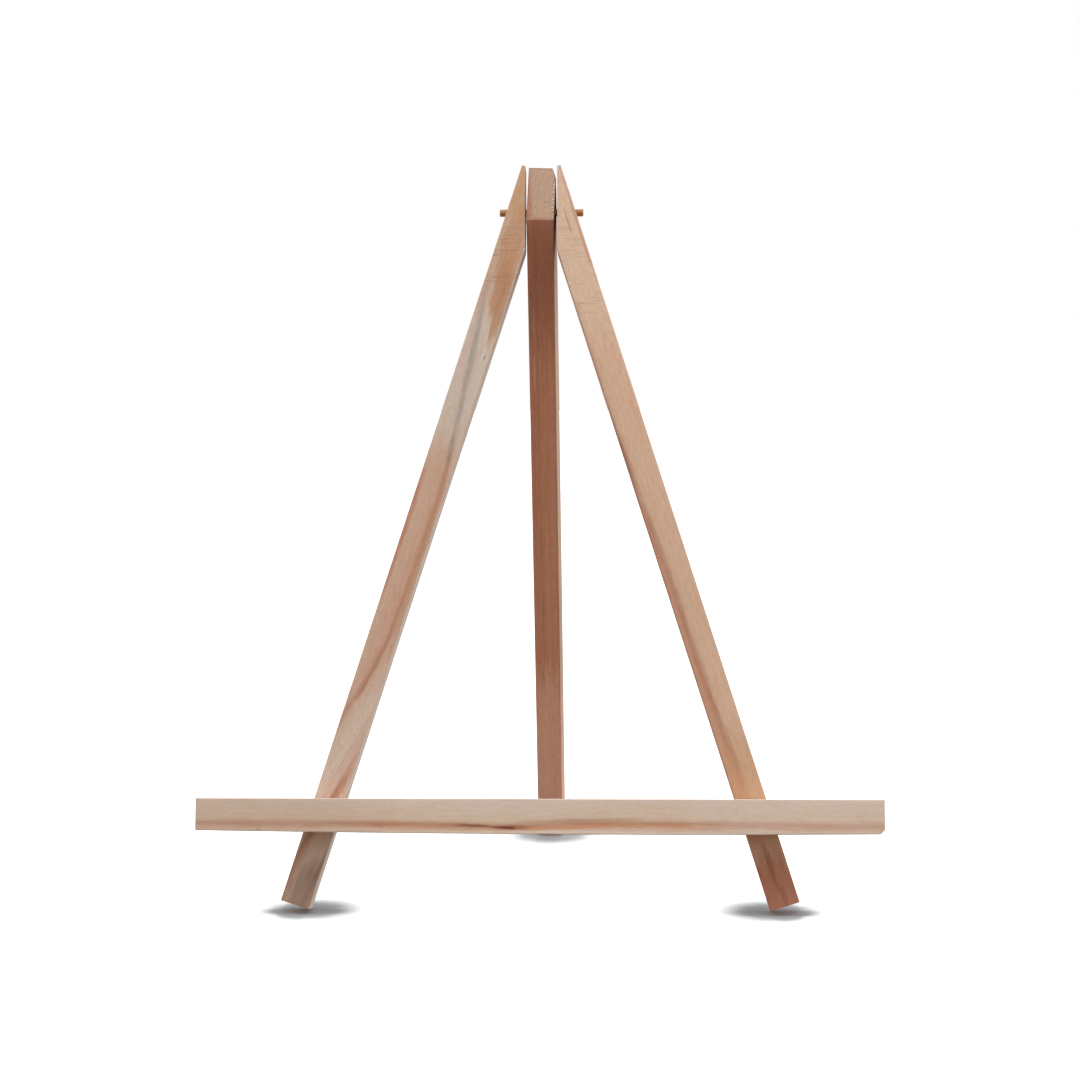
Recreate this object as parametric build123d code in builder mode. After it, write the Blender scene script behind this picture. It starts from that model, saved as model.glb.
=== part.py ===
"""Tabletop artist's easel in pine: two splayed front legs, a ledge and a hinged rear leg.

Millimetres and degrees, +Z up, standing on Z = 0 with the picture side towards -Y.
Three local views carry the whole design:
- the face view lies on the front faces of the legs, with x to the right and y running up
  the sloping frame from the level of the feet;
- the side view looks along X at the same frame, with x up the frame and y out of its face;
- the rear leg view has its origin on the pivot, x down the leg and y towards its rear face.
"""

import os
from math import atan2, cos, degrees, radians, sin

from build123d import *

# Timber strips
STRIP_WIDTH = 12.0
STRIP_THICKNESS = 11.2
FRONT_LEG_LENGTH = 311.0
REAR_LEG_LENGTH = 313.2
LEDGE_LENGTH = 270.0
LEDGE_DEPTH = 11.2
LEDGE_HEIGHT_LEFT = 12.8
LEDGE_HEIGHT_MIDDLE = 14.0
LEDGE_HEIGHT_RIGHT = 13.7
EDGE_EASE = 0.4

# How the frame is laid out
SPLAY = 17.7
HEAD_GAP = 12.9
TIP_FLAT = 1.55
LEDGE_TOP_LEVEL = 43.8
LEDGE_CORNER_TRIM = 1.8

# Rear leg and its pivot
OPENING = 32.5
PIVOT_LEVEL = 281.3
PIVOT_FROM_REAR_FACE = 5.0
REAR_LEG_SKEW = 5.0
REAR_TIP_FLAT = 0.5
REAR_CORNER_TRIM_ACROSS = 1.5
REAR_CORNER_TRIM_DOWN = 4.5
DOWEL_RADIUS = 1.5
DOWEL_LENGTH = 34.0
DOWEL_CHAMFER = 0.3
RUNNING_CLEARANCE = 0.05

# Wire brads that hold the ledge, driven from behind the legs
BRAD_RADIUS = 0.6
BRAD_LENGTH = 19.0
BRAD_POINT_LENGTH = 1.2
BRAD_POINT_RADIUS = 0.1
BRAD_HEAD_RADIUS = 1.1
BRAD_HEAD_THICKNESS = 0.6
BRAD_RISE = 6.0

SPLAY_SIN, SPLAY_COS = sin(radians(SPLAY)), cos(radians(SPLAY))
OPEN_SIN, OPEN_COS = sin(radians(OPENING)), cos(radians(OPENING))
SKEW_SIN, SKEW_COS = sin(radians(REAR_LEG_SKEW)), cos(radians(REAR_LEG_SKEW))
MID_DEPTH = STRIP_THICKNESS / 2
HALF_WIDTH, HALF_THICKNESS = STRIP_WIDTH / 2, STRIP_THICKNESS / 2

# Right front leg in the face view: its foot stands at y = 0 on the inner corner.
leg_up = Vector(-SPLAY_SIN, SPLAY_COS)
leg_outward = Vector(SPLAY_COS, SPLAY_SIN)
tip_outer_x = HEAD_GAP / 2 + TIP_FLAT * SPLAY_COS
foot_inner = Vector(tip_outer_x + FRONT_LEG_LENGTH * SPLAY_SIN - STRIP_WIDTH * SPLAY_COS, 0)
foot_outer = foot_inner + leg_outward * STRIP_WIDTH
tip_outer = foot_outer + leg_up * FRONT_LEG_LENGTH
tip_inner = tip_outer - leg_outward * TIP_FLAT
mitre_foot = foot_inner + leg_up * ((foot_inner.X - HEAD_GAP / 2) / SPLAY_SIN)
FRONT_LEG_OUTLINE = (foot_inner, foot_outer, tip_outer, tip_inner, mitre_foot)

# Rear leg in its own view: the top is cut on a slope that lies flush with the front faces.
PIVOT_DEPTH = HALF_WIDTH - PIVOT_FROM_REAR_FACE


def slope_x(depth):
    """Where the sloping cut of the rear leg passes at this depth."""
    return -(MID_DEPTH + (depth - PIVOT_DEPTH) * OPEN_COS) / OPEN_SIN


rear_tip_x = slope_x(HALF_WIDTH - REAR_TIP_FLAT)
rear_foot_x = rear_tip_x + REAR_LEG_LENGTH

# The easel stands on three corners, so the frame leans by an angle that follows from them.
pivot = Vector(PIVOT_LEVEL, -MID_DEPTH)
rear_down = Vector(-OPEN_COS, -OPEN_SIN)
rear_inward = Vector(OPEN_SIN, -OPEN_COS)
corner_reach = HALF_WIDTH * SKEW_COS + HALF_THICKNESS * SKEW_SIN
rear_toe = pivot + rear_down * rear_foot_x - rear_inward * (corner_reach + PIVOT_DEPTH)
rear_heel = rear_toe + rear_inward * (2 * corner_reach)
LEAN = degrees(atan2(rear_toe.X, -rear_toe.Y - STRIP_THICKNESS))
LEAN_SIN, LEAN_COS = sin(radians(LEAN)), cos(radians(LEAN))


def depth_of(in_side_view):
    """Distance towards +Y of a point given in the side view."""
    return in_side_view.X * LEAN_SIN - in_side_view.Y * LEAN_COS


front_most = depth_of(Vector(LEDGE_TOP_LEVEL - LEDGE_HEIGHT_MIDDLE, LEDGE_DEPTH))
rear_most = depth_of(rear_heel)
frame_origin = (0, -(front_most + rear_most) / 2, STRIP_THICKNESS * LEAN_SIN)
face_view = Plane(origin=frame_origin, x_dir=(1, 0, 0), z_dir=(0, -LEAN_COS, LEAN_SIN))
side_view = Plane(origin=frame_origin, x_dir=face_view.y_dir, z_dir=(1, 0, 0))
back_of_legs = face_view.offset(-STRIP_THICKNESS)
unskewed_rear_view = Plane(
    origin=side_view.from_local_coords(pivot - rear_inward * PIVOT_DEPTH),
    x_dir=side_view.x_dir * rear_down.X + side_view.y_dir * rear_down.Y,
    z_dir=(1, 0, 0),
)
rear_view = Plane(unskewed_rear_view.location * Rotation(REAR_LEG_SKEW, 0, 0))
rear_front_view = Plane(origin=rear_view.origin, x_dir=rear_view.x_dir, z_dir=-rear_view.y_dir)


def leg_centre_x(level):
    """Distance of a front leg's centre line from the middle of the easel, in the face view."""
    return foot_inner.X + (STRIP_WIDTH / 2 - level * SPLAY_SIN) / SPLAY_COS


ledge_mid_level = LEDGE_TOP_LEVEL - LEDGE_HEIGHT_MIDDLE / 2
brad_levels = {
    "lower": ledge_mid_level - BRAD_RISE / 2,
    "upper": ledge_mid_level + BRAD_RISE / 2,
}
brad_places = {
    f"{side}_{height}_brad": (sign * leg_centre_x(level), level)
    for side, sign in (("left", -1), ("right", 1))
    for height, level in brad_levels.items()
}


def long_edges(part):
    """The edges that run the length of a strip."""
    return part.edges().filter_by(lambda edge: edge.length > LEDGE_LENGTH * 0.9)


def make_front_leg(side, sign):
    """A strip with a square foot, mitred at the top so that its inner face stands upright."""
    places = [place for name, place in brad_places.items() if side in name]
    with BuildPart() as leg:
        with BuildSketch(face_view):
            with BuildLine():
                Polyline([(sign * p.X, p.Y) for p in FRONT_LEG_OUTLINE], close=True)
            make_face()
        extrude(amount=-STRIP_THICKNESS)
        fillet(long_edges(leg), radius=EDGE_EASE)
        with BuildSketch(side_view):
            with Locations(pivot):
                Circle(DOWEL_RADIUS)
        extrude(amount=DOWEL_LENGTH, both=True, mode=Mode.SUBTRACT)
        with BuildSketch(back_of_legs):
            with Locations(*places):
                Circle(BRAD_RADIUS)
        extrude(amount=STRIP_THICKNESS, mode=Mode.SUBTRACT)
        with BuildSketch(back_of_legs):
            with Locations(*places):
                Circle(BRAD_HEAD_RADIUS)
        extrude(amount=BRAD_HEAD_THICKNESS, mode=Mode.SUBTRACT)
    leg.part.label = f"{side}_leg"
    return leg.part


def make_rear_leg():
    """A strip on edge between the front legs, bored a little askew to swing on the dowel."""
    trimmed_side = HALF_THICKNESS - REAR_CORNER_TRIM_ACROSS
    with BuildPart() as leg:
        with BuildSketch(rear_front_view):
            with BuildLine():
                Polyline(
                    (rear_tip_x, -HALF_THICKNESS),
                    (rear_tip_x, trimmed_side),
                    (rear_tip_x + REAR_CORNER_TRIM_DOWN, HALF_THICKNESS),
                    (rear_foot_x, HALF_THICKNESS),
                    (rear_foot_x, -HALF_THICKNESS),
                    close=True,
                )
            make_face()
        extrude(amount=HALF_WIDTH, both=True)
        fillet(long_edges(leg), radius=EDGE_EASE)
        with BuildSketch(rear_view):
            with BuildLine():
                Polyline(
                    (slope_x(-STRIP_WIDTH), -STRIP_WIDTH),
                    (rear_tip_x, HALF_WIDTH - REAR_TIP_FLAT),
                    (rear_tip_x - STRIP_WIDTH, -STRIP_WIDTH),
                    close=True,
                )
            make_face()
        extrude(amount=STRIP_THICKNESS, both=True, mode=Mode.SUBTRACT)
        with BuildSketch(side_view):
            with Locations(pivot):
                Circle(DOWEL_RADIUS + RUNNING_CLEARANCE)
        extrude(amount=STRIP_THICKNESS, both=True, mode=Mode.SUBTRACT)
    leg.part.label = "rear_leg"
    return leg.part


def make_ledge():
    """The bar that the picture stands on: its underside bows a little, one corner is sawn off."""
    left, right = -LEDGE_LENGTH / 2, LEDGE_LENGTH / 2
    left_bottom = (left, LEDGE_TOP_LEVEL - LEDGE_HEIGHT_LEFT)
    middle_bottom = (0, LEDGE_TOP_LEVEL - LEDGE_HEIGHT_MIDDLE)
    right_bottom = (right - LEDGE_CORNER_TRIM, LEDGE_TOP_LEVEL - LEDGE_HEIGHT_RIGHT)
    trimmed_corner = (right, right_bottom[1] + LEDGE_CORNER_TRIM)
    with BuildPart() as ledge:
        with BuildSketch(face_view):
            with BuildLine():
                ThreePointArc(left_bottom, middle_bottom, right_bottom)
                Polyline(
                    right_bottom,
                    trimmed_corner,
                    (right, LEDGE_TOP_LEVEL),
                    (left, LEDGE_TOP_LEVEL),
                    left_bottom,
                )
            make_face()
        extrude(amount=LEDGE_DEPTH)
        fillet(long_edges(ledge), radius=EDGE_EASE)
        with BuildSketch(face_view):
            with Locations(*brad_places.values()):
                Circle(BRAD_RADIUS)
        extrude(amount=BRAD_LENGTH - STRIP_THICKNESS, mode=Mode.SUBTRACT)
    ledge.part.label = "ledge"
    return ledge.part


def make_dowel():
    """The round pivot that joins the three legs and stands out on both sides."""
    with BuildPart() as dowel:
        with BuildSketch(side_view):
            with Locations(pivot):
                Circle(DOWEL_RADIUS)
        extrude(amount=DOWEL_LENGTH / 2, both=True)
        chamfer(dowel.edges().filter_by(GeomType.CIRCLE), DOWEL_CHAMFER)
    dowel.part.label = "pivot_dowel"
    return dowel.part


def make_brad(name, place):
    """A wire nail, head flush with the back of a leg and its point in the ledge."""
    brad_view = Plane(
        origin=back_of_legs.from_local_coords(place), x_dir=(1, 0, 0), z_dir=-face_view.y_dir
    )
    with BuildPart() as brad:
        with BuildSketch(brad_view):
            with BuildLine():
                Polyline(
                    (0, 0),
                    (BRAD_HEAD_RADIUS, 0),
                    (BRAD_HEAD_RADIUS, BRAD_HEAD_THICKNESS),
                    (BRAD_RADIUS, BRAD_HEAD_THICKNESS),
                    (BRAD_RADIUS, BRAD_LENGTH - BRAD_POINT_LENGTH),
                    (BRAD_POINT_RADIUS, BRAD_LENGTH),
                    (0, BRAD_LENGTH),
                    close=True,
                )
            make_face()
        revolve(axis=Axis(brad_view.origin, brad_view.y_dir))
    brad.part.label = name
    return brad.part


brads = [make_brad(name, place) for name, place in brad_places.items()]
pieces = [
    make_front_leg("left", -1),
    make_front_leg("right", 1),
    make_rear_leg(),
    make_ledge(),
    make_dowel(),
    Compound(label="ledge_brads", children=brads),
]

os.makedirs("parts", exist_ok=True)
for piece in pieces:
    export_step(piece, f"parts/{piece.label}.step")

hinge = side_view.from_local_coords(pivot)
print(f"lean {LEAN:.3f} degrees, hinge axis through Y {hinge.Y:.3f} Z {hinge.Z:.3f}")
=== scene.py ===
import math
from dataclasses import dataclass

import bmesh
import bpy
from mathutils import Matrix, Vector, noise


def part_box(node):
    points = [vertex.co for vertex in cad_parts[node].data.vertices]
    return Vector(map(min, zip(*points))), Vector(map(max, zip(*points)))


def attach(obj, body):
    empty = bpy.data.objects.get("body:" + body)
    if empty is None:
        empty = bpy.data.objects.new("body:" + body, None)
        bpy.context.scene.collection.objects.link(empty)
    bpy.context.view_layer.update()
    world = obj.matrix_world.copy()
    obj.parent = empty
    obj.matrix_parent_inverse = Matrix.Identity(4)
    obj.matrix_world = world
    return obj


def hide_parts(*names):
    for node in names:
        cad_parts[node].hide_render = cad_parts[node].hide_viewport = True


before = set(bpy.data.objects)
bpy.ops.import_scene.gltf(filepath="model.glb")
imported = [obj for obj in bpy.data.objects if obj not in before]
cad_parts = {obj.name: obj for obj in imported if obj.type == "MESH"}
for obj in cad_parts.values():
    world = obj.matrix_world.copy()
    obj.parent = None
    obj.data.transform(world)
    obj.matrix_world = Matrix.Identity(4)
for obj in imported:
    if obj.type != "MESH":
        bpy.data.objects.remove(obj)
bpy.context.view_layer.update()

MM = 0.001

# ---------------------------------------------------------------- colour


def srgb(red, green, blue):
    """A colour picked on a screen, as the linear colour that shaders use."""
    linear = []
    for channel in (red, green, blue):
        share = channel / 255
        linear.append(share / 12.92 if share < 0.04045 else ((share + 0.055) / 1.055) ** 2.4)
    return (*linear, 1.0)


# ---------------------------------------------------------------- shader graphs


class Value:
    """A number that varies over a surface, with the usual arithmetic."""

    def __init__(self, graph, socket):
        self.graph = graph
        self.socket = socket

    def __add__(self, other):
        return self.graph.math("ADD", self, other)

    def __sub__(self, other):
        return self.graph.math("SUBTRACT", self, other)

    def __rsub__(self, other):
        return self.graph.math("SUBTRACT", other, self)

    def __mul__(self, other):
        return self.graph.math("MULTIPLY", self, other)

    def __truediv__(self, other):
        return self.graph.math("DIVIDE", self, other)

    def __abs__(self):
        return self.graph.math("ABSOLUTE", self)

    __radd__ = __add__
    __rmul__ = __mul__


class Graph:
    """The nodes of a material or a world, added one step at a time."""

    def __init__(self, owner):
        owner.use_nodes = True
        self.owner = owner
        self.tree = owner.node_tree
        self.surface = self.tree.nodes.get("Principled BSDF")

    def put(self, socket, value):
        """Links a value to a socket, or sets a constant on it."""
        if isinstance(value, Value):
            self.tree.links.new(value.socket, socket)
        else:
            socket.default_value = value

    def add(self, kind, sockets, output=0, **settings):
        """Adds a node and returns one of its outputs."""
        node = self.tree.nodes.new(kind)
        for key, value in settings.items():
            setattr(node, key, value)
        for key, value in sockets.items():
            self.put(node.inputs[key], value)
        return Value(self, node.outputs[output])

    def math(self, operation, *values):
        sockets = dict(enumerate(values))
        return self.add("ShaderNodeMath", sockets, operation=operation)

    def point(self, x, y, z):
        return self.add("ShaderNodeCombineXYZ", {"X": x, "Y": y, "Z": z})

    def split(self, vector):
        """The three parts of a vector."""
        node = self.tree.nodes.new("ShaderNodeSeparateXYZ")
        self.put(node.inputs[0], vector)
        return [Value(self, output) for output in node.outputs]

    def noise(self, point, detail=2.0, roughness=0.5):
        """Smooth noise about 0, reaching some way towards -1 and 1."""
        sockets = {"Vector": point, "Scale": 1.0, "Detail": detail, "Roughness": roughness}
        return self.add("ShaderNodeTexNoise", sockets) * 2.0 - 1.0

    def step(self, value, start, end):
        """0 before start, 1 after end and a smooth rise between. Start may be the larger."""
        sockets = {"Value": value, "From Min": start, "From Max": end}
        return self.add("ShaderNodeMapRange", sockets, interpolation_type="SMOOTHSTEP")

    def mix(self, share, first, second, blend="MIX"):
        """A colour between two others, or one blended over the other."""
        node = self.tree.nodes.new("ShaderNodeMix")
        node.data_type = "RGBA"
        node.blend_type = blend
        self.put(node.inputs[0], share)
        self.put(node.inputs[6], first)
        self.put(node.inputs[7], second)
        return Value(self, node.outputs[2])

    def ramp(self, value, stops):
        """Colours at given values, blended between."""
        low, high = stops[0][0], stops[-1][0]
        node = self.tree.nodes.new("ShaderNodeValToRGB")
        self.put(node.inputs[0], (value - low) / (high - low))
        elements = node.color_ramp.elements
        while len(elements) < len(stops):
            elements.new(0.5)
        for element, (place, colour) in zip(elements, stops):
            element.position = (place - low) / (high - low)
            element.color = colour
        return Value(self, node.outputs[0])

    def curve(self, value, points):
        """A smooth curve through (value, result) points."""
        first, last = points[0][0], points[-1][0]
        low = min(result for _, result in points)
        high = max(result for _, result in points)
        node = self.tree.nodes.new("ShaderNodeFloatCurve")
        self.put(node.inputs["Value"], (value - first) / (last - first))
        line = node.mapping.curves[0]
        while len(line.points) < len(points):
            line.points.new(0.5, 0.5)
        for knot, (place, result) in zip(line.points, points):
            knot.location = ((place - first) / (last - first), (result - low) / (high - low))
        node.mapping.update()
        return Value(self, node.outputs[0]) * (high - low) + low


# ---------------------------------------------------------------- wood

# Every board is drawn in its own axes, in millimetres: x runs along the strip from its foot or
# left end, y across its picture side from the middle, and z out of that side.

RINGS_PER_MM = 0.45

PALE = srgb(200, 178, 160)
BEIGE = srgb(195, 168, 147)
PINK = srgb(193, 158, 139)
TAN = srgb(198, 164, 138)
ORANGE = srgb(186, 140, 112)
STREAK = srgb(164, 112, 84)
DEEP = srgb(156, 94, 62)
GREY = srgb(100, 88, 80)
SAWN = srgb(196, 166, 141)

LATE_WOOD = srgb(160, 106, 74)
RESIN_DUCT = srgb(128, 88, 62)
PALE_FLECK = srgb(232, 210, 186)
SAW_SCRATCH = srgb(136, 90, 62)
END_ARC = srgb(158, 116, 92)
END_CLOUD = srgb(176, 140, 116)
OPEN_PORE = srgb(130, 96, 72)
END_GLINT = srgb(214, 184, 158)
TORN_PALE = srgb(232, 204, 172)
TORN_DARK = srgb(140, 84, 60)
RUBBED = srgb(176, 132, 106)
SOILED = srgb(168, 112, 88)

# These three multiply the colour under them
WARM_CAST = srgb(238, 205, 188)
YELLOW_CAST = srgb(252, 246, 226)
ROSY_CAST = srgb(255, 236, 228)


@dataclass
class Vein:
    """A line of darker wood that keeps to one growth ring, between two places along the strip."""

    ring: float
    width: float
    colour: tuple
    strength: float
    start: float
    end: float
    fade: float = 14.0


@dataclass
class StainOrPaintedLight:
    """A ragged patch of another colour: a real stain, or, where marked, painted shade or painted light."""

    x: float
    y: float
    long: float
    wide: float
    colour: tuple
    strength: float


@dataclass
class SawMarks:
    """Scratches across the grain between two places, slanted by so much per millimetre across."""

    start: float
    end: float
    slant: float
    depth: float


@dataclass
class Board:
    """How one strip was cut from its tree: grain is the curve that its rings follow."""

    name: str
    grain: list
    zones: list
    veins: list
    stains_and_painted_light: list
    end_colour: tuple
    ring_slant: float
    ring_bend: float
    ring_contrast: float
    flecks: float
    mottling: float
    shift: float
    saw_marks: SawMarks | None = None


class Wood:
    """Planed, unvarnished softwood, with saw-cut ends and rubbed edges, painted on in layers."""

    def __init__(self, board, half_width, half_depth):
        self.board = board
        self.half_width = half_width
        self.half_depth = half_depth
        self.graph = g = Graph(bpy.data.materials.new(board.name))
        position = g.add("ShaderNodeTexCoord", {}, output="Object")
        self.x, self.y, self.z = (part * (1 / MM) for part in g.split(position))
        self.moved = self.x + board.shift
        self.wander = self.figure(0.014, 0.05, 1.0)
        self.ripple = self.figure(0.06, 0.35, 2.0)
        self.ragged = self.figure(0.10, 0.9, 3.0, 0.6)
        self.fibre = self.figure(0.09, 4.2, 3.0, 0.6)
        self.mottle = self.figure(0.35, 0.7, 3.0, 0.65)
        self.ring = self.ring_number()
        self.colour = g.ramp(self.ring, board.zones)

        late = self.paint_rings()
        self.paint_veins()
        self.paint_stains_and_painted_light()
        duct = self.paint_figure()
        cut = self.paint_saw_marks() if board.saw_marks else 0.0
        end_face, pore = self.paint_end_grain()
        self.paint_wear(end_face)
        grooves = duct * 0.02 + cut * 0.03 + pore * 0.06
        height = self.fibre * 0.010 + self.mottle * 0.010 + late * 0.008 - grooves
        self.set_surface(height, 0.68 - late * 0.08 + self.fibre * 0.06 + end_face * 0.12)

    def figure(self, along, across, detail, roughness=0.5):
        """Noise drawn out along the grain, with so many waves per millimetre each way."""
        point = self.graph.point(self.moved * along, self.y * across, self.z * across)
        return self.graph.noise(point, detail, roughness)

    def paint(self, share, colour, blend="MIX"):
        self.colour = self.graph.mix(share, self.colour, colour, blend)

    def ring_number(self):
        """Millimetres of growth from the board's middle ring."""
        board = self.board
        depth = self.z - self.half_depth
        ring = self.y - self.graph.curve(self.x, board.grain)
        ring = ring + depth * board.ring_slant + depth * depth * board.ring_bend
        return ring + self.wander * 0.35 + self.ripple * 0.35

    def paint_rings(self):
        """Yearly rings, pale to dark and then suddenly pale again."""
        g = self.graph
        year = g.math("FRACT", (self.ring + self.wander * 0.8) * RINGS_PER_MM)
        late = g.step(year, 0.3, 0.92) - g.step(year, 0.92, 1.0)
        late = late * (self.ripple * 0.6 + 0.7)
        self.paint(late * self.board.ring_contrast, LATE_WOOD)
        return late

    def paint_veins(self):
        g = self.graph
        for vein in self.board.veins:
            across = abs(self.ring - vein.ring + self.ragged * vein.width * 0.5) / vein.width
            reach = g.step(self.x, vein.start - vein.fade, vein.start)
            reach = reach * g.step(self.x, vein.end + vein.fade, vein.end)
            self.paint(g.step(across, 1.0, 0.0) * reach * (self.ripple * 0.5 + vein.strength), vein.colour)

    def paint_stains_and_painted_light(self):
        # Some of these patches are painted shade or painted light, as marked where the boards list them.
        for patch_of_colour in self.board.stains_and_painted_light:
            dx = (self.x - patch_of_colour.x) / patch_of_colour.long
            dy = (self.y - patch_of_colour.y) / patch_of_colour.wide
            reach = dx * dx + dy * dy + self.ragged * 0.8
            self.paint(self.graph.step(reach, 1.3, 0.3) * patch_of_colour.strength, patch_of_colour.colour)

    def paint_figure(self):
        """Fibres, mottling, pale flecks and short dark resin ducts along the grain."""
        g, board = self.graph, self.board
        broad = self.figure(0.035, 0.9, 2.0)
        tint = g.noise(g.point(self.moved * 0.12, self.y * 0.45, self.z * 0.45 + 19), 3.0, 0.65)
        self.paint(g.step(broad, -0.05, 0.5) * 0.30, WARM_CAST, "MULTIPLY")
        self.paint(g.step(tint, 0.0, 0.5) * 0.7, YELLOW_CAST, "MULTIPLY")
        self.paint(g.step(tint, 0.0, -0.5) * 0.7, ROSY_CAST, "MULTIPLY")
        light = (self.fibre * 0.15 + self.mottle * 0.16) * board.mottling + broad * 0.06 + 1.02
        self.paint(1.0, g.add("ShaderNodeCombineColor", {0: light, 1: light, 2: light}), "MULTIPLY")
        duct = g.step(self.figure(0.42, 5.0, 1.0), 0.40, 0.66)
        self.paint(duct * board.flecks, RESIN_DUCT)
        spot = g.noise(g.point(self.moved * 0.5 + 37, self.y * 2.6, self.z * 2.6), 1.0)
        self.paint(g.step(spot, 0.42, 0.7) * board.flecks * 0.7, PALE_FLECK)
        return duct

    def paint_saw_marks(self):
        """Scratches that a saw left across the grain."""
        g, marks = self.graph, self.board.saw_marks
        along = (self.moved + self.y * marks.slant) * 1.7
        scratch = g.noise(g.point(along, self.y * 0.10, self.z * 0.10), 2.0, 0.7)
        sawn = g.step(self.x, marks.start, marks.start + 6) * g.step(self.x, marks.end, marks.end - 6)
        cut = g.step(scratch, 0.08, 0.40) * sawn * (self.mottle * 1.2 + 0.7)
        self.paint(cut * marks.depth, SAW_SCRATCH)
        return cut

    def paint_end_grain(self):
        """Its own tone, faint arcs, slanting dashes of open pores and torn fibres at one edge."""
        g, y = self.graph, self.y
        normal_x, _, _ = g.split(g.add("ShaderNodeTexCoord", {}, output="Normal"))
        end_face = g.step(abs(normal_x), 0.22, 0.5)
        rise = self.x - self.z
        cloud = self.end_cloud()
        self.paint(end_face * 0.85, self.board.end_colour)
        arc = g.math("FRACT", (self.ring + self.wander + self.mottle * 0.3) * RINGS_PER_MM)
        self.paint(g.step(arc, 0.3, 0.95) * end_face * 0.12, END_ARC)
        self.paint(g.step(cloud, 0.2, -0.4) * end_face * 0.4, END_CLOUD)
        dashes = g.noise(g.point((rise + y * 1.3) * 0.5, (rise - y * 1.3) * 1.3, 3.0), 1.0)
        pore = g.step(dashes + cloud * 0.3, 0.20, 0.42) * end_face
        self.paint(pore * 0.75, OPEN_PORE)
        self.paint(g.step(dashes, -0.26, -0.44) * end_face * 0.5, END_GLINT)
        beside_edge = g.step(y, 1.3 - self.half_width, 0.4 - self.half_width) * end_face
        torn = g.noise(g.point(rise * 1.1, y * 0.4, 11.0), 1.0)
        self.paint(beside_edge * g.step(torn, 0.02, 0.25) * 0.85, TORN_PALE)
        self.paint(beside_edge * g.step(torn, -0.02, -0.25) * 0.75, TORN_DARK)
        return end_face, pore

    def end_cloud(self):
        """Broad, soft patches on the sawn ends."""
        g = self.graph
        return g.noise(g.point((self.x - self.z) * 0.16 + 3, self.y * 0.24, 7.0), 2.0)

    def paint_wear(self, end_face):
        """Long edges and the rims of the ends, rubbed and soiled by handling."""
        g, width, depth = self.graph, self.half_width, self.half_depth
        near_side = g.step(abs(self.y), width - 1.0, width - 0.1)
        near_face = g.step(abs(self.z), depth - 1.0, depth - 0.1)
        self.paint(near_side * near_face * (self.mottle * 0.9 + 0.7) * 0.18, RUBBED)
        soiled = g.step(self.y + self.z * 0.2 + self.end_cloud(), width - 2.6, width - 0.2)
        soiled = g.math("MAXIMUM", soiled, near_face) * end_face
        self.paint(soiled * 0.75, SOILED)

    def set_surface(self, height, roughness):
        """Links the layers to the shader. The height is in millimetres."""
        g = self.graph
        bump = g.add("ShaderNodeBump", {"Strength": 1.0, "Distance": 1.0, "Height": height * MM})
        g.put(g.surface.inputs["Base Color"], self.colour)
        g.put(g.surface.inputs["Roughness"], roughness)
        g.put(g.surface.inputs["Normal"], bump)
        g.surface.inputs["Specular IOR Level"].default_value = 0.3


def wood(board, half_width, half_depth):
    return Wood(board, half_width, half_depth).graph.owner


LEFT_LEG = Board(
    name="pine_left_leg",
    # The rings slope in from the outer edge, run level above the middle and slope out again
    grain=[(0, 19.5), (30, 15), (44, 11.5), (60, 8), (72, 5.3), (80, 3.6), (90, 1.2), (100, -0.8),
           (112, -2.2), (130, -3.1), (150, -3.8), (170, -3.9), (188, -3.1), (205, -1.7), (220, -0.2),
           (240, 1.6), (262, 4.1), (312, 11.0)],
    zones=[(-26, BEIGE), (-16, BEIGE), (-12, PINK), (-8, PALE), (-4, PALE), (-1, BEIGE), (2, PINK),
           (6, BEIGE), (12, PALE)],
    veins=[
        Vein(-22.1, 1.7, GREY, 0.45, 0, 20),
        Vein(-12.8, 2.4, STREAK, 0.6, 0, 50),
        Vein(-12.2, 1.0, DEEP, 0.5, 2, 44),
        Vein(-8.6, 0.45, ORANGE, 0.7, 54, 72),
        Vein(0.4, 3.2, ORANGE, 0.5, 98, 172),
        Vein(0.9, 1.5, STREAK, 0.5, 74, 100),
        Vein(0.0, 1.3, srgb(154, 102, 76), 1.1, 92, 190),
        Vein(0.4, 2.8, srgb(168, 152, 140), 0.6, 192, 258),
        Vein(0.3, 1.7, srgb(84, 76, 70), 1.3, 202, 236, 20),
        Vein(0.2, 1.4, GREY, 0.9, 190, 202, 8),
        Vein(8.9, 1.6, srgb(166, 98, 72), 1.0, 134, 174),
    ],
    stains_and_painted_light=[
        StainOrPaintedLight(145, 0, 62, 16, srgb(190, 150, 124), 0.5),
        StainOrPaintedLight(146, -4.4, 42, 2.4, srgb(180, 134, 104), 0.6),
        StainOrPaintedLight(222, 0, 32, 14, srgb(196, 182, 168), 0.65),
        StainOrPaintedLight(231, -4.0, 0.9, 0.35, GREY, 0.6),
        StainOrPaintedLight(285, 3, 30, 12, srgb(188, 152, 124), 0.55),
        StainOrPaintedLight(253, -3.8, 18, 2.4, srgb(172, 124, 88), 0.8),
        StainOrPaintedLight(262, -1.2, 15, 2.8, srgb(172, 122, 86), 0.8),
        StainOrPaintedLight(279, -0.6, 20, 5.0, srgb(178, 132, 96), 0.75),
        StainOrPaintedLight(303, 3.2, 16, 5.5, srgb(186, 142, 104), 0.7),
        # Painted shade: darkens the foot, carrying the ledge's shadow down to the floor.
        StainOrPaintedLight(2, -4, 18, 9, srgb(146, 116, 98), 0.75),
        # Painted light: pales the inner side along its whole length, against the shade from the rear leg.
        StainOrPaintedLight(150, -6.5, 500, 1.0, srgb(208, 193, 180), 1.0),
    ],
    end_colour=SAWN,
    ring_slant=0.35,
    ring_bend=0.02,
    ring_contrast=0.10,
    flecks=0.32,
    mottling=1.0,
    shift=13.0,
    saw_marks=SawMarks(256, 288, 0.32, 0.75),
)

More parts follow.
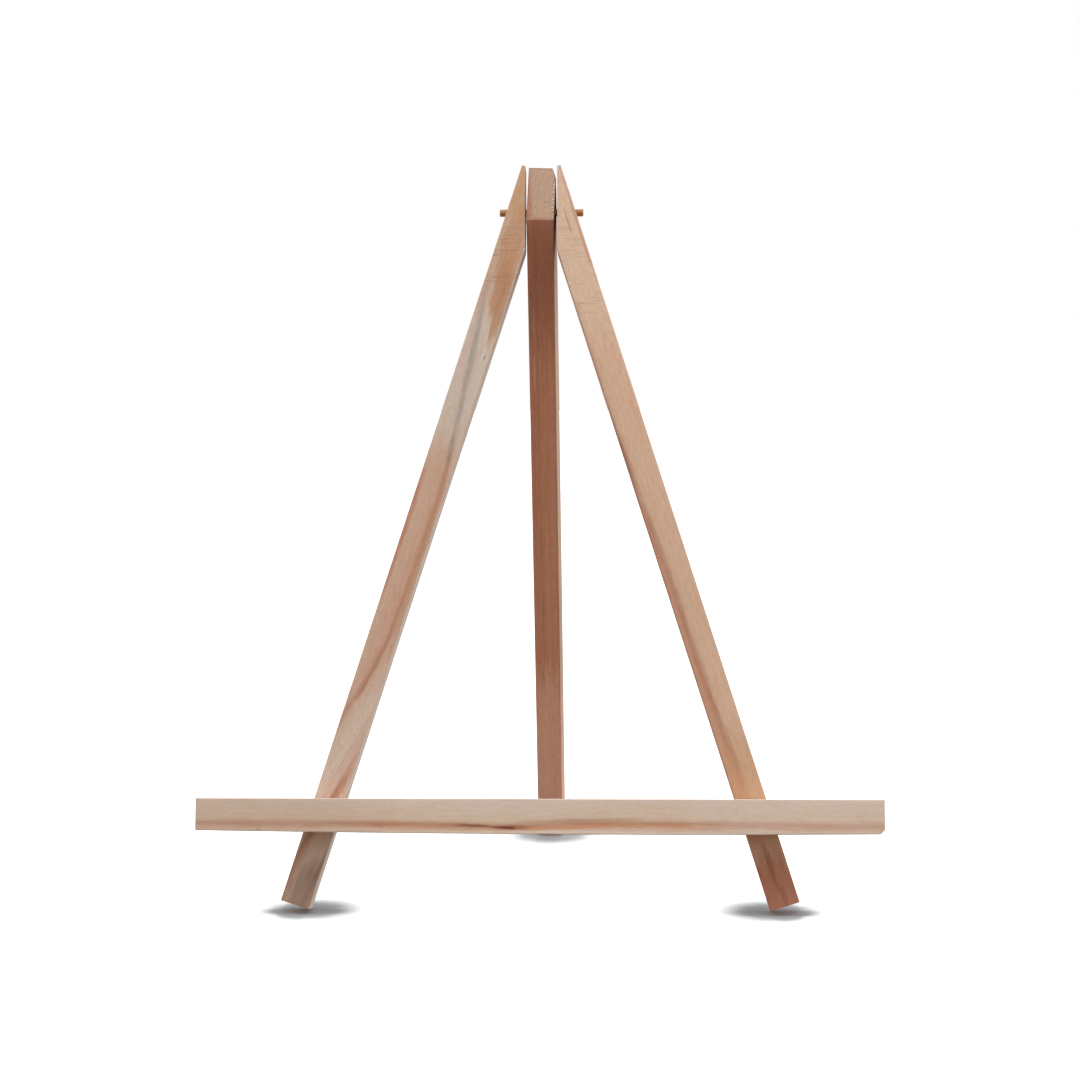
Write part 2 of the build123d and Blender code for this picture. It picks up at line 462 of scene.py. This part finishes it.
RIGHT_LEG = Board(
    name="pine_right_leg",
    # A reddish band that drifts to the inner edge, which is where y is largest
    grain=[(0, 0.8), (30, 0.7), (50, 1.0), (80, 2.3), (100, 2.9), (130, 3.3), (155, 4.1), (175, 5.2),
           (205, 5.8), (312, 6.8)],
    zones=[(-13, srgb(206, 171, 146)), (-8, srgb(203, 167, 141)), (-4, srgb(202, 168, 142)), (-1.5, TAN),
           (0, PINK), (1.5, srgb(192, 148, 120)), (6, srgb(190, 146, 118))],
    veins=[
        Vein(0.9, 3.4, ORANGE, 0.65, 36, 250),
        Vein(0.2, 2.2, STREAK, 0.55, 60, 190),
        Vein(0.2, 0.9, srgb(136, 92, 68), 0.45, 180, 250),
    ],
    stains_and_painted_light=[
        StainOrPaintedLight(44, -2, 32, 9, srgb(188, 140, 100), 0.5),
        StainOrPaintedLight(86, -3, 30, 5, srgb(210, 180, 152), 0.25),
        StainOrPaintedLight(292, 0, 56, 13, srgb(212, 186, 162), 0.5),
        StainOrPaintedLight(286, -5.4, 26, 0.9, ORANGE, 0.7),
        StainOrPaintedLight(288, -1.6, 6, 0.3, srgb(140, 104, 78), 0.55),
        # Painted shade: darkens and reddens the foot, as the ledge's shadow would.
        StainOrPaintedLight(6, 0, 17, 13, srgb(166, 102, 74), 0.8),
        StainOrPaintedLight(17, 0.8, 11, 1.1, srgb(130, 74, 50), 0.5),
        StainOrPaintedLight(4, -0.8, 5, 1.2, srgb(130, 74, 50), 0.35),
    ],
    end_colour=SAWN,
    ring_slant=0.35,
    ring_bend=0.02,
    ring_contrast=0.07,
    flecks=0.28,
    mottling=1.0,
    shift=151.0,
    saw_marks=SawMarks(244, 294, -0.32, 0.5),
)

LEDGE = Board(
    name="pine_ledge",
    grain=[(0, -2.9), (50, -3.0), (90, -3.4), (110, -3.8), (122, -4.0), (140, -3.5), (160, -3.0),
           (200, -3.1), (250, -3.5), (270, -3.6)],
    zones=[(-5, srgb(206, 188, 176)), (-2.6, srgb(208, 186, 168)), (-1.5, srgb(210, 182, 156)),
           (1.5, srgb(205, 178, 152)), (2.6, srgb(206, 184, 160)), (6, srgb(209, 188, 169)),
           (9, srgb(209, 189, 174)), (11, srgb(207, 189, 180))],
    veins=[
        Vein(-1.2, 1.7, srgb(204, 156, 126), 0.45, -20, 290),
        Vein(0.1, 2.1, srgb(180, 132, 106), 0.9, -20, 280),
        Vein(0.2, 1.3, srgb(168, 114, 88), 0.4, -10, 100),
        Vein(1.6, 1.6, srgb(178, 138, 112), 0.6, 134, 166, 12),
        Vein(-0.7, 1.2, srgb(204, 146, 110), 0.7, 136, 190, 16),
        Vein(-0.2, 1.7, srgb(184, 134, 108), 0.7, 204, 290),
        Vein(0.0, 1.3, DEEP, 0.5, 105, 128, 6),
        Vein(0.2, 0.7, srgb(112, 62, 44), 0.75, 106, 114, 3),
        Vein(-0.2, 0.9, srgb(108, 46, 28), 0.8, 118, 124, 3),
    ],
    stains_and_painted_light=[
        StainOrPaintedLight(10, 2, 70, 14, srgb(186, 158, 136), 0.4),
        StainOrPaintedLight(250, 2, 60, 14, srgb(214, 195, 178), 0.4),
        StainOrPaintedLight(140, -6.3, 70, 1.0, srgb(224, 208, 192), 0.5),
        StainOrPaintedLight(25, -5.1, 1.2, 0.3, srgb(150, 125, 95), 0.5),
    ],
    end_colour=SAWN,
    ring_slant=0.12,
    ring_bend=0.0,
    ring_contrast=0.05,
    flecks=0.16,
    mottling=0.55,
    shift=287.0,
)

REAR_LEG = Board(
    name="red_pine_rear_leg",
    grain=[(0, 0.6), (90, -0.4), (180, 0.5), (312, -0.3)],
    zones=[(-12, srgb(186, 162, 142)), (-7.0, srgb(186, 160, 138)), (-6.0, srgb(190, 136, 105)),
           (-3, srgb(190, 132, 102)), (0, srgb(195, 138, 107)), (3, srgb(190, 132, 104)),
           (8, srgb(191, 134, 105))],
    veins=[
        Vein(-2.2, 1.2, srgb(170, 112, 84), 0.5, 20, 250),
        Vein(1.6, 0.8, srgb(172, 116, 88), 0.4, 60, 280),
    ],
    stains_and_painted_light=[
        StainOrPaintedLight(250, 3.4, 9, 0.6, srgb(222, 176, 146), 0.5),
        StainOrPaintedLight(228, 3.4, 9, 0.5, srgb(222, 176, 146), 0.5),
        StainOrPaintedLight(46, 1.0, 26, 1.3, srgb(222, 178, 152), 0.5),
        # Painted light: pales the lower part of the rear leg, as light bounced off the floor would.
        StainOrPaintedLight(36, 0, 52, 14, srgb(220, 172, 146), 0.8),
        StainOrPaintedLight(160, -2.6, 110, 2.6, srgb(212, 156, 124), 0.35),
        # Painted shade: darkens the top of the rear leg, where the heads of the front legs shade it.
        StainOrPaintedLight(292, 0, 56, 14, srgb(148, 102, 78), 0.55),
        StainOrPaintedLight(286, 5.4, 22, 2.6, srgb(196, 138, 108), 0.6),
        StainOrPaintedLight(292, -5.0, 46, 6, srgb(168, 116, 88), 0.5),
        StainOrPaintedLight(150, -6.5, 500, 1.0, srgb(180, 162, 146), 0.9),
        StainOrPaintedLight(84, -6.5, 100, 1.0, srgb(146, 124, 108), 0.9),
        StainOrPaintedLight(250, -6.5, 50, 1.0, srgb(204, 184, 166), 0.5),
    ],
    end_colour=srgb(188, 160, 136),
    ring_slant=0.55,
    ring_bend=0.05,
    ring_contrast=0.12,
    flecks=0.22,
    mottling=1.0,
    shift=411.0,
)

DOWEL = Board(
    name="turned_dowel",
    grain=[(0, 0.2), (17, -0.2), (34, 0.1)],
    zones=[(-4, srgb(164, 116, 80)), (0, srgb(152, 102, 70)), (4, srgb(140, 90, 60))],
    veins=[Vein(0.3, 0.5, srgb(160, 98, 60), 0.5, 0, 34)],
    stains_and_painted_light=[],
    end_colour=srgb(140, 98, 70),
    ring_slant=0.3,
    ring_bend=0.05,
    ring_contrast=0.2,
    flecks=0.3,
    mottling=1.0,
    shift=523.0,
)

# ---------------------------------------------------------------- timber shapes

EASE = 0.16 * MM
SLICE_ALONG = 1.2 * MM
SLICE_ACROSS = 1.5 * MM
SHARP_EDGE = math.radians(28)

# Depths in millimetres that planing, rubbing and knocks take off the CAD faces
INSET = 0.05
WAVE = 0.025
FINE_WAVE = 0.012
RUB = 0.04
NICK = 0.25

DOWEL_RIM = 0.35 * MM
DOWEL_SIDES = 40
DOWEL_LOOPS = 40
DOWEL_UNEVENNESS = 0.03 * MM


def strip_axes(node):
    """A strip's own axes: x along the grain, z out of its picture side, origin amid its lower end."""
    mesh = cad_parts[node].data
    areas = {}
    for face in mesh.polygons:
        key = tuple(round(part, 2) for part in face.normal)
        areas.setdefault(key, [0.0, Vector()])
        areas[key][0] += face.area
        areas[key][1] += face.normal * face.area
    sides = [total.normalized() for _, total in sorted(areas.values(), key=lambda a: -a[0])]
    front = next(side for side in sides if side.y < -0.7)
    flank = next(side for side in sides if abs(side.dot(front)) < 0.02)
    along = front.cross(flank)
    if along.x + along.z < 0:
        along.negate()
    turn = Matrix((along, front.cross(along), front)).transposed().to_4x4()
    local = [turn.inverted() @ vertex.co for vertex in mesh.vertices]
    low, high = (Vector(pick(point[i] for point in local) for i in range(3)) for pick in (min, max))
    origin = turn @ Vector((low.x, (low.y + high.y) / 2, (low.z + high.z) / 2))
    return Matrix.Translation(origin) @ turn, (high - low)


def slice_along(bm, axis, spacing, whole=0.0):
    """Cuts the mesh into even slices square to one of its axes, but leaves its low end whole."""
    places = [vertex.co[axis] for vertex in bm.verts]
    low, high = min(places) + whole, max(places)
    count = max(1, round((high - low) / spacing))
    normal = Vector((0, 0, 0))
    normal[axis] = 1
    for i in range(0 if whole else 1, count):
        everything = bm.verts[:] + bm.edges[:] + bm.faces[:]
        place = normal * (low + (high - low) * i / count)
        bmesh.ops.bisect_plane(bm, geom=everything, dist=1e-7, plane_co=place, plane_no=normal)


def roughen(bm, seed):
    """Planed faces that wave a little, and edges that are rubbed and nicked."""
    bm.normal_update()
    moves = []
    for vertex in bm.verts:
        p = vertex.co / MM + Vector((seed, 0, 0))
        bend = max((edge.calc_face_angle(0.0) for edge in vertex.link_edges), default=0.0)
        on_edge = min(1.0, bend / math.radians(8))
        wave = INSET + WAVE * noise.noise(Vector((p.x * 0.03, p.y * 0.2, p.z * 0.2)))
        fine = FINE_WAVE * (1 + noise.noise(p * 0.55))
        rub = RUB * (1 + noise.noise(Vector((p.x * 0.06, p.y * 0.3, p.z * 0.3))))
        nick = NICK * max(0.0, noise.noise(Vector((p.x * 0.45, p.y * 0.5, p.z * 0.5))) - 0.36)
        moves.append(-vertex.normal * (wave + fine + on_edge * (rub + nick)) * MM)
    for vertex, move in zip(bm.verts, moves):
        vertex.co += move


def link(name, bm, matrix):
    """Makes a smooth-shaded object of a mesh that is drawn in its own axes."""
    mesh = bpy.data.meshes.new(name)
    bm.to_mesh(mesh)
    bm.free()
    for face in mesh.polygons:
        face.use_smooth = True
    mesh.set_sharp_from_angle(angle=math.radians(35))
    piece = bpy.data.objects.new(name, mesh)
    piece.modifiers.new("flat_faces", "WEIGHTED_NORMAL").keep_sharp = True
    bpy.context.scene.collection.objects.link(piece)
    piece.matrix_world = matrix
    return piece


def timber(node, board, body, bow=0.0):
    """Replaces a CAD strip by the same strip with eased edges, uneven faces and its own grain.

    Where the lower side is bowed, bow is how much of the depth stays unsliced, to keep that edge clean.
    """
    axes, size = strip_axes(node)
    bm = bmesh.new()
    bm.from_mesh(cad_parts[node].data)
    bmesh.ops.remove_doubles(bm, verts=bm.verts, dist=1e-7)
    bmesh.ops.transform(bm, matrix=axes.inverted(), verts=bm.verts)
    bmesh.ops.dissolve_limit(bm, angle_limit=math.radians(1), verts=bm.verts, edges=bm.edges)
    sharp = [edge for edge in bm.edges if edge.calc_face_angle(0.0) > SHARP_EDGE]
    bmesh.ops.bevel(
        bm, geom=sharp, offset=EASE, segments=2, profile=0.5, affect="EDGES", clamp_overlap=True
    )
    slice_along(bm, 0, SLICE_ALONG)
    slice_along(bm, 1, SLICE_ACROSS, bow)
    slice_along(bm, 2, SLICE_ACROSS)
    roughen(bm, board.shift)
    piece = link(f"{node}_timber", bm, axes)
    piece.data.materials.append(wood(board, size.y / 2 / MM, size.z / 2 / MM))
    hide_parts(node)
    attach(piece, body)


def turned_dowel(node, board, body):
    """Replaces the pivot by a round rod with softened rims and a slightly uneven surface."""
    low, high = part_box(node)
    centre = (low + high) / 2
    length, radius = high.x - low.x, (high.z - low.z) / 2
    rim = DOWEL_RIM
    end = [(0.0, radius * 0.35), (0.0, radius - rim), (rim * 0.3, radius - rim * 0.3)]
    middle = [(rim + (length - 2 * rim) * i / DOWEL_LOOPS, radius) for i in range(DOWEL_LOOPS + 1)]
    stations = end + middle + [(length - x, r) for x, r in reversed(end)]
    bm = bmesh.new()
    loops = []
    for x, station_radius in stations:
        loop = []
        for i in range(DOWEL_SIDES):
            angle = math.tau * i / DOWEL_SIDES
            spot = Vector((x / MM * 0.5, math.cos(angle) * 1.5, math.sin(angle) * 1.5 + board.shift))
            shrink = DOWEL_UNEVENNESS * (1 + noise.noise(spot))
            r = station_radius - (shrink if station_radius == radius else 0)
            loop.append(bm.verts.new((x, r * math.cos(angle), r * math.sin(angle))))
        loops.append(loop)
    for one, two in zip(loops, loops[1:]):
        for i in range(DOWEL_SIDES):
            j = (i + 1) % DOWEL_SIDES
            bm.faces.new((one[i], one[j], two[j], two[i]))
    bm.faces.new(list(reversed(loops[0])))
    bm.faces.new(loops[-1])
    bmesh.ops.recalc_face_normals(bm, faces=bm.faces)
    piece = link(f"{node}_turned", bm, Matrix.Translation(Vector((low.x, centre.y, centre.z))))
    piece.data.materials.append(wood(board, radius / MM + 1, radius / MM + 1))
    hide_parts(node)
    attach(piece, body)


def wire_steel():
    """Bright drawn wire that has dulled a little, with freckles of rust."""
    g = Graph(bpy.data.materials.new("wire_steel"))
    position = g.add("ShaderNodeTexCoord", {}, output="Object")
    x, y, z = (part * (1 / MM) for part in g.split(position))
    dull = g.noise(g.point(x * 1.7, y * 1.7, z * 1.7), 3.0, 0.6)
    drawn = g.noise(g.point(x * 9, y * 0.6, z * 9), 2.0)
    colour = g.mix(g.step(dull, -0.2, 0.5), srgb(176, 174, 170), srgb(138, 134, 128))
    colour = g.mix(g.step(dull + drawn * 0.4, 0.42, 0.8) * 0.7, colour, srgb(112, 78, 56))
    height = (dull * 0.01 + drawn * 0.008) * MM
    bump = g.add("ShaderNodeBump", {"Strength": 1.0, "Distance": 1.0, "Height": height})
    g.put(g.surface.inputs["Base Color"], colour)
    g.put(g.surface.inputs["Roughness"], dull * 0.12 + 0.38)
    g.put(g.surface.inputs["Normal"], bump)
    g.surface.inputs["Metallic"].default_value = 1.0
    return g.owner


# ---------------------------------------------------------------- floor, light and camera

WHITE = (1.0, 1.0, 1.0, 1.0)
PAPER_GREY = (0.35, 0.35, 0.35, 1.0)
SHADOW_REACH = 31 * MM
AIM = Vector((0, 0, 0.12))


def make_floor():
    """Grey paper, lit from above. It also glows with painted light, but less the more of the easel stands
    over it, which paints soft contact shadows round the feet.
    """
    bm = bmesh.new()
    bmesh.ops.create_grid(bm, x_segments=2, y_segments=2, size=6.0)
    floor = link("floor", bm, Matrix.Identity(4))
    g = Graph(bpy.data.materials.new("grey_paper_with_painted_glow"))
    openness = g.add("ShaderNodeAmbientOcclusion", {"Distance": SHADOW_REACH}, output=1, samples=32)
    # Painted light and painted shadow: a white glow in the open, dimmed by ambient occlusion near the
    # easel.
    glow_with_painted_shadow = g.step(openness, 0.80, 0.99) * 1.2
    g.put(g.surface.inputs["Emission Strength"], glow_with_painted_shadow)
    g.surface.inputs["Emission Color"].default_value = WHITE
    g.surface.inputs["Base Color"].default_value = PAPER_GREY
    g.surface.inputs["Roughness"].default_value = 0.9
    g.surface.inputs["Specular IOR Level"].default_value = 0.1
    floor.data.materials.append(g.owner)
    floor.visible_diffuse = False
    floor.visible_glossy = False


def make_sky():
    """White behind the object. As a light it is brightest overhead, and dim and warm low in front."""
    world = bpy.data.worlds.new("studio")
    bpy.context.scene.world = world
    g = Graph(world)
    direction = g.add("ShaderNodeTexCoord", {})
    _, y, z = g.split(direction)
    below, level, above = srgb(195, 192, 192), srgb(203, 204, 206), srgb(241, 250, 255)
    light = g.ramp(z, [(-0.6, below), (0.0, level), (0.7, above)])
    low_front = g.step(z, 0.15, -0.5) * g.step(y, 0.1, -0.6)
    light = g.mix(low_front, light, srgb(158, 130, 116))
    seen = g.add("ShaderNodeLightPath", {})
    sky = g.mix(seen, light, WHITE)
    g.put(g.tree.nodes["Background"].inputs["Color"], sky)


def add_light(name, place, size, watts):
    """A round lamp that faces the middle of the easel."""
    light = bpy.data.lights.new(name, "AREA")
    light.shape = "DISK"
    light.size = size
    light.energy = watts
    lamp = bpy.data.objects.new(name, light)
    lamp.location = place
    lamp.rotation_euler = (AIM - lamp.location).to_track_quat("-Z", "Y").to_euler()
    bpy.context.scene.collection.objects.link(lamp)


def make_camera():
    camera = bpy.data.cameras.new("camera")
    camera.sensor_width = 36.0
    camera.lens = 85.93
    viewer = bpy.data.objects.new("camera", camera)
    viewer.location = (0.0359, -1.0829, 0.2317)
    viewer.rotation_euler = [math.radians(angle) for angle in (85.246, 0.224, 1.990)]
    bpy.context.scene.collection.objects.link(viewer)
    bpy.context.scene.camera = viewer


# ---------------------------------------------------------------- the easel

timber("left_leg", LEFT_LEG, "front_frame")
timber("right_leg", RIGHT_LEG, "front_frame")
timber("ledge", LEDGE, "front_frame", bow=2 * MM)
timber("rear_leg", REAR_LEG, "rear_leg")
turned_dowel("pivot_dowel", DOWEL, "front_frame")
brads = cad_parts["ledge_brads"]
brads.data.materials.clear()
brads.data.materials.append(wire_steel())

make_floor()
make_sky()
add_light("overhead", (0.1, -0.27, 1.5), 0.8, 14)
add_light("right", (1.2, 0.05, 0.25), 0.9, 6)
add_light("left", (-1.2, -0.2, 0.9), 0.8, 5)
make_camera()
bpy.context.scene.view_settings.view_transform = "Standard"
